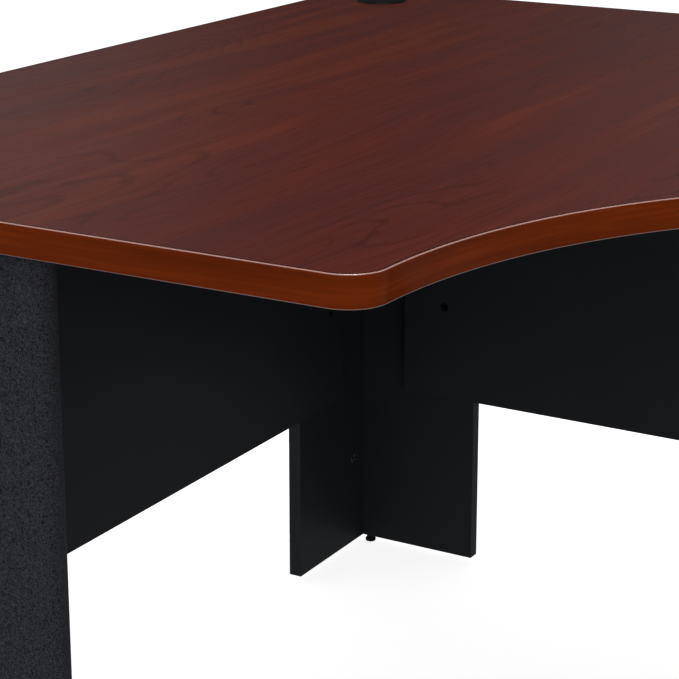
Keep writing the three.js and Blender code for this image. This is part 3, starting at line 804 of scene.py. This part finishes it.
for side, way in (("left", LEFT_OUT), ("right", RIGHT_OUT)):
    for level in ("lower", "upper"):
        node = f"{side}_panel_{level}"
        start, length = span(f"{node}_bolt", way)
        neck = length - HEAD_TALL
        rows, groove = threaded(SHANK, 0.6 * MM, neck - 3 * MM, 1 * MM, 0.45 * MM, 48)
        flat = HEAD - HEAD_EASE
        end = [(flat - flat * i / 24 + AXIS, length) for i in range(25)]

        def socketed(x, y, h, top=length):
            """Sinks the hexagon into the head."""
            reach = np.max([abs(x * math.cos(a) + y * math.sin(a))
                            for a in (0, math.pi / 3, 2 * math.pi / 3)], 0)
            return h - SOCKET_DEPTH * step_down(reach, SOCKET, SOCKET_DRAFT) * (abs(h - top) < SAME)
        profile = [(AXIS, 0), (2.5 * MM, 0), *rows, (SHANK, neck - 0.4 * MM), (3.3 * MM, neck),
                   (HEAD, neck + 0.05 * MM), (HEAD, length - HEAD_EASE),
                   (HEAD - 0.25 * MM, length - 0.25 * MM), *end]
        bolt = turned(f"{node}_socket_bolt", profile, start, way, blackened,
                      sides=48, carve=socketed, groove=groove)
        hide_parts(f"{node}_bolt")

        start, length = span(f"{node}_insert", way)
        rows, groove = threaded(INSERT, 0.5 * MM, length - 1.2 * MM, 2 * MM, 0.6 * MM, 36)
        profile = [(INSERT_BORE, 0), (3.8 * MM, 0), *rows, (INSERT, length - 0.3 * MM),
                   (4.1 * MM, length), (3.5 * MM, length), (INSERT_BORE, length - 0.3 * MM),
                   (INSERT_BORE, 0)]
        insert = turned(f"{node}_bush", profile, start, way, brass, sides=36, ring=True,
                        groove=groove)
        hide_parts(f"{node}_insert")


# ---------------------------------------------------------------- brackets
# Folded 2 mm steel angles, zinc plated, that tie the top to the middle of each
# modesty panel with two pan-head screws.
PAN = 3.8 * MM
PAN_TALL = 2.2 * MM
SCREW = 2 * MM
CROSS_SINK = 1.5 * MM            # the cross at the head's middle, fading out at CROSS_FADE
CROSS_FADE = 2.3 * MM


def pan_crossed(x, y, h):
    """Sinks a cross into the pan head, deepest on its axis."""
    bars = np.maximum(step_down(abs(x), 0.5 * MM, 0.4 * MM), step_down(abs(y), 0.5 * MM, 0.4 * MM))
    sink = np.clip(CROSS_SINK * (1 - np.hypot(x, y) / CROSS_FADE), 0, None)
    return h + bars * sink * (h < PAN_TALL * 0.9)


for side, outwards in (("left", LEFT_OUT), ("right", RIGHT_OUT)):
    eased(f"{side}_bracket", f"{side}_angle_bracket", plated, 0.5 * MM)
    for end, way in (("worktop", UP), ("panel", -outwards)):
        node = f"{side}_bracket_{end}_screw"
        start, length = span(node, way)
        rows, groove = threaded(SCREW, PAN_TALL + 0.8 * MM, length - 2.4 * MM, 1.4 * MM, 0.5 * MM, 32)
        dome = [(PAN * t + AXIS, PAN_TALL * t ** 4) for t in np.linspace(0, 1, 20)]
        profile = [*dome, (3.7 * MM, PAN_TALL), (2.1 * MM, PAN_TALL), *rows,
                   (SCREW, length - 2.2 * MM), (AXIS, length)]
        screw = turned(f"{side}_{end}_pan_screw", profile, start, way, plated,
                       sides=32, carve=pan_crossed, groove=groove)
        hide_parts(node)


# ---------------------------------------------------------------- feet
# Levelling feet: a moulded nylon pad that swivels on an M6 stem, and the stem
# screwed up into a brass insert in the panel's bottom edge.
nylon = moulded("black_nylon", (0.013, 0.013, 0.013), 0.5, 2500.0, 0.04 * MM)
PAD_NECK = 5.2 * MM
PAD_BORE = 3.15 * MM
PAD_FLOOR = 2.6 * MM             # the bottom of the pad's bore
STEM = 2.9 * MM
BUSH = 5 * MM
BUSH_BORE = 3.05 * MM

for foot in ("corner", "left_back", "left_front", "right_back", "right_front"):
    low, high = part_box(f"{foot}_foot_pad")
    middle = (low + high) / 2
    centre = Vector((middle.x, middle.y, 0))
    radius, tall = (high.x - low.x) / 2, high.z
    profile = filleted([
        (AXIS, 0.3 * MM), (radius - 2 * MM, 0.3 * MM), (radius - 2.4 * MM, 0),
        (radius - 0.7 * MM, 0), (radius, 0.7 * MM), (radius, 3.6 * MM),
        (radius - 0.8 * MM, 4.4 * MM), (PAD_NECK, 5.2 * MM), (PAD_NECK, tall), (PAD_BORE, tall),
        (PAD_BORE, PAD_FLOOR), (AXIS, PAD_FLOOR)], 0.35 * MM)
    pad = turned(f"{foot}_foot_glide", profile, centre, UP, nylon, f"{foot}_foot_pad",
                 sides=48)
    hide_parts(f"{foot}_foot_pad")

    low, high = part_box(f"{foot}_foot_stem")
    begin, end = low.z, high.z
    rows, groove = threaded(STEM, begin + 0.8 * MM, end - 1 * MM, 1 * MM, 0.45 * MM, 32)
    profile = [(AXIS, begin), (2.4 * MM, begin), *rows, (2.4 * MM, end - 0.2 * MM),
               (2.2 * MM, end), (AXIS, end)]
    stem = turned(f"{foot}_foot_thread", profile, centre, UP, plated,
                  f"{foot}_foot_stem", sides=32, groove=groove)
    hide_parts(f"{foot}_foot_stem")

    low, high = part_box(f"{foot}_foot_insert")
    begin, end = low.z, high.z
    rows, groove = threaded(BUSH, begin + 0.8 * MM, end - 1.4 * MM, 2 * MM, 0.6 * MM, 36)
    profile = [(BUSH_BORE, begin), (4.4 * MM, begin), *rows, (4.6 * MM, end), (BUSH_BORE, end),
               (BUSH_BORE, begin)]
    bush = turned(f"{foot}_foot_bush", profile, centre, UP, brass, sides=36, ring=True,
                  groove=groove)
    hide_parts(f"{foot}_foot_insert")
